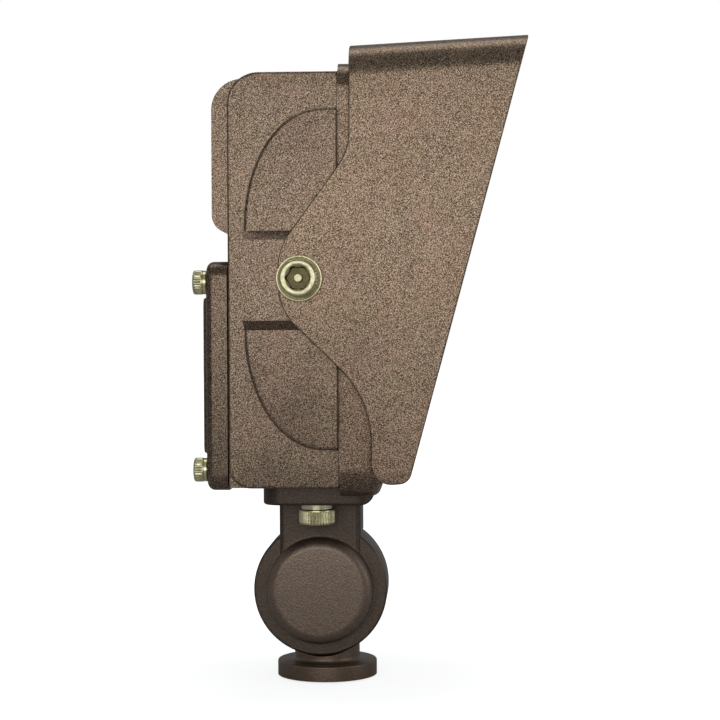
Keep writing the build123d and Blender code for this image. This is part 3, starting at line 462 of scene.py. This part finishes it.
def smoothing_tree():
    """Merge corners closer than MERGE_GAP, then shade smooth but for edges over SHARP_ANGLE."""
    tree = bpy.data.node_groups.new("smooth_curves", "GeometryNodeTree")
    for way in ("INPUT", "OUTPUT"):
        tree.interface.new_socket(name="Geometry", in_out=way, socket_type="NodeSocketGeometry")
    n, l = tree.nodes, tree.links
    inside, outside = n.new("NodeGroupInput"), n.new("NodeGroupOutput")
    merge = n.new("GeometryNodeMergeByDistance")
    merge.inputs["Distance"].default_value = MERGE_GAP
    soft = n.new("GeometryNodeSetShadeSmooth")
    sharp = n.new("GeometryNodeSetShadeSmooth")
    sharp.domain = "EDGE"
    angle = n.new("GeometryNodeInputMeshEdgeAngle")
    over = n.new("FunctionNodeCompare")
    over.operation = "GREATER_THAN"
    over.inputs["B"].default_value = SHARP_ANGLE
    soft.inputs["Shade Smooth"].default_value = True
    sharp.inputs["Shade Smooth"].default_value = False
    l.new(inside.outputs[0], merge.inputs["Geometry"])
    l.new(merge.outputs["Geometry"], soft.inputs["Geometry"])
    l.new(soft.outputs["Geometry"], sharp.inputs["Geometry"])
    l.new(angle.outputs["Unsigned Angle"], over.inputs["A"])
    l.new(over.outputs["Result"], sharp.inputs["Selection"])
    l.new(sharp.outputs["Geometry"], outside.inputs[0])
    return tree


smooth_curves = smoothing_tree()
paint_of = {
    "housing": bronze_body,
    "rear_cover": bronze_cover_shaded,
    "bezel": bronze_cast,
    "visor": bronze_sheet,
    "upper_arm": bronze_arm,
    "lower_arm": bronze_foot,
    "glass_lens": clear_glass,
    "reflector": chrome_cup,
    "light_board": white_board,
    "light_sources": phosphor,
    "driver_module": black_potting,
    "lead_wires": red_lead,
}
for name, piece in nodes.items():
    steel = "screw" in name or "washer" in name or "bolt" in name
    other = yellow_steel if steel else black_rubber
    piece.data.materials.clear()
    piece.data.materials.append(paint_of.get(name, other))
    smoother = piece.modifiers.new("smooth_curves", "NODES")
    smoother.node_group = smooth_curves
print("painted", len(nodes), "pieces")

# %% [markdown]
# The solids carry plain screws. The real ones have knurled heads, a hexagon socket with a
# pin in its middle, and split lock washers, so each set is laid out again as one surface.
# A screw is a profile turned about its axis whose radius also varies round the axis. The
# sizes of these small parts are in millimetres, and MM turns them into metres.

# %% Closed surfaces from a grid of points
MM = 0.001


def mesh_piece(name, shells, paint, painted_shade=None):
    """One object from shells of (points, faces).

    Each shell's corner numbers are shifted past those of the shells before it. The last
    argument, the same for every shell, darkens the points with painted shade where it is one.
    """
    points, faces, start = [], [], 0
    for shell_points, shell_faces in shells:
        points.append(shell_points)
        faces.extend((np.array(group) + start).tolist() for group in shell_faces)
        start += len(shell_points)
    flat = [corner for group in faces for corner in group]
    mesh = bpy.data.meshes.new(name)
    mesh.from_pydata(np.concatenate(points).tolist(), [], flat)
    mesh.update()
    if painted_shade is not None:
        value = mesh.attributes.new("painted_shade", "FLOAT", "POINT")
        value.data.foreach_set("value", np.tile(painted_shade, len(shells)).astype(np.float32))
    piece = bpy.data.objects.new(name, mesh)
    scene.collection.objects.link(piece)
    mesh.materials.append(paint)
    smoother = piece.modifiers.new("smooth_curves", "NODES")
    smoother.node_group = smooth_curves
    return piece


def ring_faces(rows, columns):
    """Four-cornered faces between neighbouring rows of a grid whose columns close on themselves."""
    row, column = np.meshgrid(np.arange(rows - 1), np.arange(columns), indexing="ij")
    after = (column + 1) % columns
    this_row, next_row = row * columns, (row + 1) * columns
    corners = [this_row + column, this_row + after, next_row + after, next_row + column]
    return np.stack(corners, axis=-1).reshape(-1, 4)


def turned_shell(radius, height, angle):
    """A turned form: a row of points at each height, at radius times cosine and sine of angle.

    One point on the axis closes each end. Faces look outwards when the rows run from the top
    down.
    """
    rows, columns = radius.shape
    level = np.repeat(height[:, None], columns, axis=1)
    grid = np.stack([radius * np.cos(angle), radius * np.sin(angle), level], axis=-1)
    ends = np.array([[0.0, 0.0, height[0]], [0.0, 0.0, height[-1]]])
    points = np.concatenate([grid.reshape(-1, 3), ends])
    column = np.arange(columns)
    after = (column + 1) % columns
    last = (rows - 1) * columns
    top = np.stack([np.full(columns, rows * columns), column, after], axis=-1)
    bottom = np.stack([np.full(columns, rows * columns + 1), last + after, last + column], axis=-1)
    return points, [ring_faces(rows, columns)[:, ::-1], top, bottom]


def aimed(shell, seat, way):
    """The shell with its own upward axis turned to way and its origin moved to seat."""
    points, faces = shell
    turn = np.array(Vector((0, 0, 1)).rotation_difference(Vector(way)).to_matrix())
    return points @ turn.T + np.array(seat), faces


def cap_screw(head, tall, key, depth, pin, teeth, shank, reach):
    """A socket head screw in millimetres, and how much painted shade darkens each point.

    Its radius follows a profile from the pin down into the socket, over the crown, down the
    side and along the shank. The socket's wall is half the key over the cosine of the angle
    from the nearest flat's middle. The side is knurled: a raised cosine of teeth waves round
    the axis is taken off its radius. The head rests at height zero.
    """
    columns = 6 * teeth
    angle = np.arange(columns) * 2 * np.pi / columns
    sixth = np.pi / 3
    hexagon = key / 2 / np.cos(angle % sixth - sixth / 2)
    knurl = 0.07 * head * (0.5 - 0.5 * np.cos(teeth * angle))
    plain = np.ones(columns)
    floor_at = tall - depth
    profile = [
        (plain * pin * 0.85, tall - 0.3 * depth),
        (plain * pin, tall - 0.36 * depth),
        (plain * pin, floor_at + 0.06),
        (plain * (pin + 0.06), floor_at),
        (hexagon - 0.12, floor_at),
        (hexagon, floor_at + 0.12),
        (hexagon, tall - 0.11 * key),
        (plain * (key * 0.6), tall - 0.04),
        (plain * (key * 0.61), tall),
        (plain * (head - 0.75), tall),
        (plain * (head - 0.35), tall - 0.12),
        (plain * (head - 0.12), tall - 0.38),
        (plain * (head - 0.04), tall - 0.62),
        (head - knurl, tall - 0.85),
        (head - knurl, 0.75),
        (plain * (head - 0.05), 0.55),
        (plain * (head - 0.1), 0.25),
        (plain * (head - 0.35), 0.0),
        (plain * shank, 0.0),
        (plain * shank, 0.6 - reach),
        (plain * (shank - 0.6), -reach),
    ]
    # Painted shade, full at one: the socket and pin as shade in the hollow, the wall less and the
    # crown a little, to tone down its highlight.
    pin_shade, socket_shade, wall_shade, crown_shade = 0.45, 1.0, 0.75, 0.3
    radius = np.array([row for row, _ in profile]) * MM
    height = np.array([z for _, z in profile]) * MM
    row_shade = np.zeros(len(profile))
    row_shade[:2] = pin_shade
    row_shade[2:6] = socket_shade
    row_shade[6] = wall_shade
    row_shade[7:11] = crown_shade
    painted_shade = np.concatenate([np.repeat(row_shade, columns), [pin_shade, 0.0]])
    return turned_shell(radius, height, angle[None, :]), painted_shade


def turned_ring(section, columns=144):
    """A closed section of (radius, height) in millimetres turned once round the axis.

    Faces look outwards when the section runs from the inner edge over the top.
    """
    angle = np.arange(columns) * 2 * np.pi / columns
    rows = np.array([*section, section[0]])
    radius = rows[:, :1] * MM
    height = np.repeat(rows[:, 1:] * MM, columns, axis=1)
    points = np.stack([radius * np.cos(angle), radius * np.sin(angle), height], axis=-1)
    return points.reshape(-1, 3), [ring_faces(len(rows), columns)[:, ::-1]]


def rimmed_washer(outer, inner, thick):
    """A flat washer in millimetres, and how much painted shade darkens each point.

    Its face sits a little below a rounded rim; painted shade darkens the face, not the rim.
    """
    section = [
        (inner, 0.0),
        (inner, thick - 0.12),
        (outer - 0.75, thick - 0.12),
        (outer - 0.6, thick - 0.02),
        (outer - 0.4, thick),
        (outer - 0.1, thick - 0.1),
        (outer, thick - 0.35),
        (outer, 0.15),
        (outer - 0.15, 0.0),
    ]
    point_shade = [1.0, 1.0, 0.85, 0.0, 0.0, 0.0, 0.0, 0.3, 1.0, 1.0]
    ring = turned_ring(section)
    return ring, np.repeat(point_shade, len(ring[0]) // len(point_shade))


def split_washer(outer, inner, thick, columns=72):
    """A spring washer in millimetres: a four-cornered section carried round the axis.

    It runs from one side of a gap to the other while it climbs a fifth of the thickness.
    """
    gap = 0.16
    angle = np.linspace(gap / 2, 2 * np.pi - gap / 2, columns)
    climb = 0.2 * thick * np.linspace(0, 1, columns)
    top = 0.8 * thick
    corners = np.array([[outer, 0.0], [outer, top], [inner, top], [inner, 0.0]])
    radius = np.repeat(corners[None, :, 0], columns, axis=0)
    height = corners[None, :, 1] + climb[:, None]
    around = (radius * np.cos(angle)[:, None], radius * np.sin(angle)[:, None], height)
    last = 4 * (columns - 1)
    ends = np.array([[3, 2, 1, 0], [last, last + 1, last + 2, last + 3]])
    return np.stack(around, axis=-1).reshape(-1, 3) * MM, [ring_faces(columns, 4), ends]


def corner_seats(node, margin):
    """A CAD node's box, and its four corners seen along X, each moved in by margin.

    They are the middles of four round parts of that radius, with X left at zero.
    """
    low, high = (np.array(v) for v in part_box(node))
    seats = [
        np.array([0.0, y, z])
        for y in (low[1] + margin, high[1] - margin)
        for z in (low[2] + margin, high[2] - margin)
    ]
    return low, high, seats


print("surface tools are ready")

# %% [markdown]
# The large screws hold the flange and the visor, and one closes the knuckle from behind.
# Their places come from the boxes of the plain screws that they stand for. Head, pin and
# shank are radii, tall is the head's height, key is the socket's width across its flats,
# depth is the socket's, and teeth counts the knurls.

# %% Large screws
LARGE = {"head": 6.5, "tall": 5.6, "key": 7.2, "depth": 2.8, "pin": 1.45, "teeth": 34, "shank": 4.0}
PIVOT_REACH = 16.4
RING = {"inner": 4.05, "thick": 1.6}
large_head, large_tall = LARGE["head"] * MM, LARGE["tall"] * MM
ring_thick = RING["thick"] * MM

low, high = (np.array(v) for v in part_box("visor_screws"))
mid = (low + high) / 2
pivot, point_shade = cap_screw(reach=PIVOT_REACH, **LARGE)
side = high[1] - large_tall
pivots = mesh_piece(
    "pivot_screws",
    [aimed(pivot, (mid[0], way * side, mid[2]), (0, way, 0)) for way in (-1, 1)],
    yellow_steel,
    point_shade,
)
low, high = (np.array(v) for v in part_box("visor_washers"))
flat_ring, face_shade = rimmed_washer((high[0] - low[0]) / 2 / MM, **RING)
pivot_rings = mesh_piece(
    "pivot_flat_washers",
    [
        aimed(flat_ring, (mid[0], low[1] + ring_thick, mid[2]), (0, -1, 0)),
        aimed(flat_ring, (mid[0], high[1] - ring_thick, mid[2]), (0, 1, 0)),
    ],
    yellow_steel,
    face_shade,
)
low, high = (np.array(v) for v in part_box("flange_screws"))
mid = (low + high) / 2
flange, point_shade = cap_screw(reach=(high[2] - low[2]) / MM - LARGE["tall"], **LARGE)
out = high[1] - large_head
flanges = mesh_piece(
    "flange_cap_screws",
    [aimed(flange, (mid[0], y, low[2] + large_tall), (0, 0, -1)) for y in (-out, out)],
    yellow_steel,
    point_shade,
)
low, high = (np.array(v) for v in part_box("knuckle_bolt"))
mid = (low + high) / 2
bolt, point_shade = cap_screw(reach=(high[1] - low[1]) / MM - LARGE["tall"], **LARGE)
bolts = mesh_piece(
    "knuckle_cap_screw",
    [aimed(bolt, (mid[0], high[1] - large_tall, mid[2]), (0, 1, 0))],
    yellow_steel,
    point_shade,
)
for piece, node in (
    (pivots, "visor_screws"),
    (pivot_rings, "visor_washers"),
    (flanges, "flange_screws"),
    (bolts, "knuckle_bolt"),
):
    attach(piece, "head")
    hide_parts(node)
    print(piece.name, "stands for", node, "with", len(piece.data.vertices), "points")

# %% [markdown]
# The rear cover and the bezel are held by smaller screws of the same kind.

# %% Small screws
REAR = {"head": 4.3, "tall": 3.7, "key": 3.0, "depth": 1.8, "pin": 0.55, "teeth": 26, "shank": 2.5}
FRONT = {"head": 3.5, "tall": 2.6, "key": 2.5, "depth": 1.4, "pin": 0.5, "teeth": 24, "shank": 2.0}

low, high, seats = corner_seats("cover_screws", REAR["head"] * MM)
cover, point_shade = cap_screw(reach=(high[0] - low[0]) / MM - REAR["tall"], **REAR)
covers = mesh_piece(
    "cover_cap_screws",
    [aimed(cover, seat + [low[0] + REAR["tall"] * MM, 0, 0], (-1, 0, 0)) for seat in seats],
    yellow_steel,
    point_shade,
)
low, high, seats = corner_seats("bezel_screws", FRONT["head"] * MM)
front, point_shade = cap_screw(reach=(high[0] - low[0]) / MM - FRONT["tall"], **FRONT)
fronts = mesh_piece(
    "bezel_cap_screws",
    [aimed(front, seat + [high[0] - FRONT["tall"] * MM, 0, 0], (1, 0, 0)) for seat in seats],
    yellow_steel,
    point_shade,
)
for piece, node in ((covers, "cover_screws"), (fronts, "bezel_screws")):
    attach(piece, "head")
    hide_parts(node)
    print(piece.name, "stands for", node, "with", len(piece.data.vertices), "points")

# %% [markdown]
# A split washer under each head is cut through and sprung, so one end stands higher.

# %% Split washers
LARGE_SPRING = {"outer": 5.75, "inner": 4.05, "thick": 2.0}
SMALL_SPRING = {"outer": 4.2, "inner": 2.55, "thick": 1.15}

low, high = (np.array(v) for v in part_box("flange_lock_washers"))
mid = (low + high) / 2
out = high[1] - LARGE_SPRING["outer"] * MM
spring = split_washer(**LARGE_SPRING)
flange_springs = mesh_piece(
    "flange_split_washers",
    [aimed(spring, (mid[0], y, high[2]), (0, 0, -1)) for y in (-out, out)],
    yellow_steel,
)
low, high, seats = corner_seats("cover_lock_washers", SMALL_SPRING["outer"] * MM)
small_spring = split_washer(**SMALL_SPRING)
cover_springs = mesh_piece(
    "cover_split_washers",
    [aimed(small_spring, seat + [high[0], 0, 0], (-1, 0, 0)) for seat in seats],
    yellow_steel,
)
for piece, node in (
    (flange_springs, "flange_lock_washers"),
    (cover_springs, "cover_lock_washers"),
):
    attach(piece, "head")
    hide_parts(node)
    print(piece.name, "stands for", node, "with", len(piece.data.vertices), "points")

# %% [markdown]
# The knuckle's seal has a bead in the groove of the upper arm and a flat web that fills the
# hair-thin gap between the two halves, so no light shows through the joint from the front.

# %% Knuckle seal
BEAD_WIDTH = 1.5
WEB_RADIUS = 24.2
WEB_LOW, WEB_HIGH = 0.01, 0.09
bead_depth = (seal_high[1] - seal_low[1]) / MM
bead_outer = (seal_high[0] - seal_low[0]) / 2 / MM
face_seal = turned_ring([
    (bead_outer - BEAD_WIDTH, -bead_depth),
    (bead_outer - BEAD_WIDTH, WEB_HIGH),
    (WEB_RADIUS, WEB_HIGH),
    (WEB_RADIUS, WEB_LOW),
    (bead_outer, WEB_LOW),
    (bead_outer, -bead_depth),
])
seal = mesh_piece(
    "knuckle_face_seal",
    [aimed(face_seal, (knuckle[0], seal_high[1], knuckle[2]), (0, 1, 0))],
    black_rubber,
)
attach(seal, "head")
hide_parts("knuckle_seal")
print("knuckle seal:", len(seal.data.vertices), "points")

# %% [markdown]
# The last line sets the colour view transform to Standard.

# %% View transform
scene.view_settings.view_transform = "Standard"
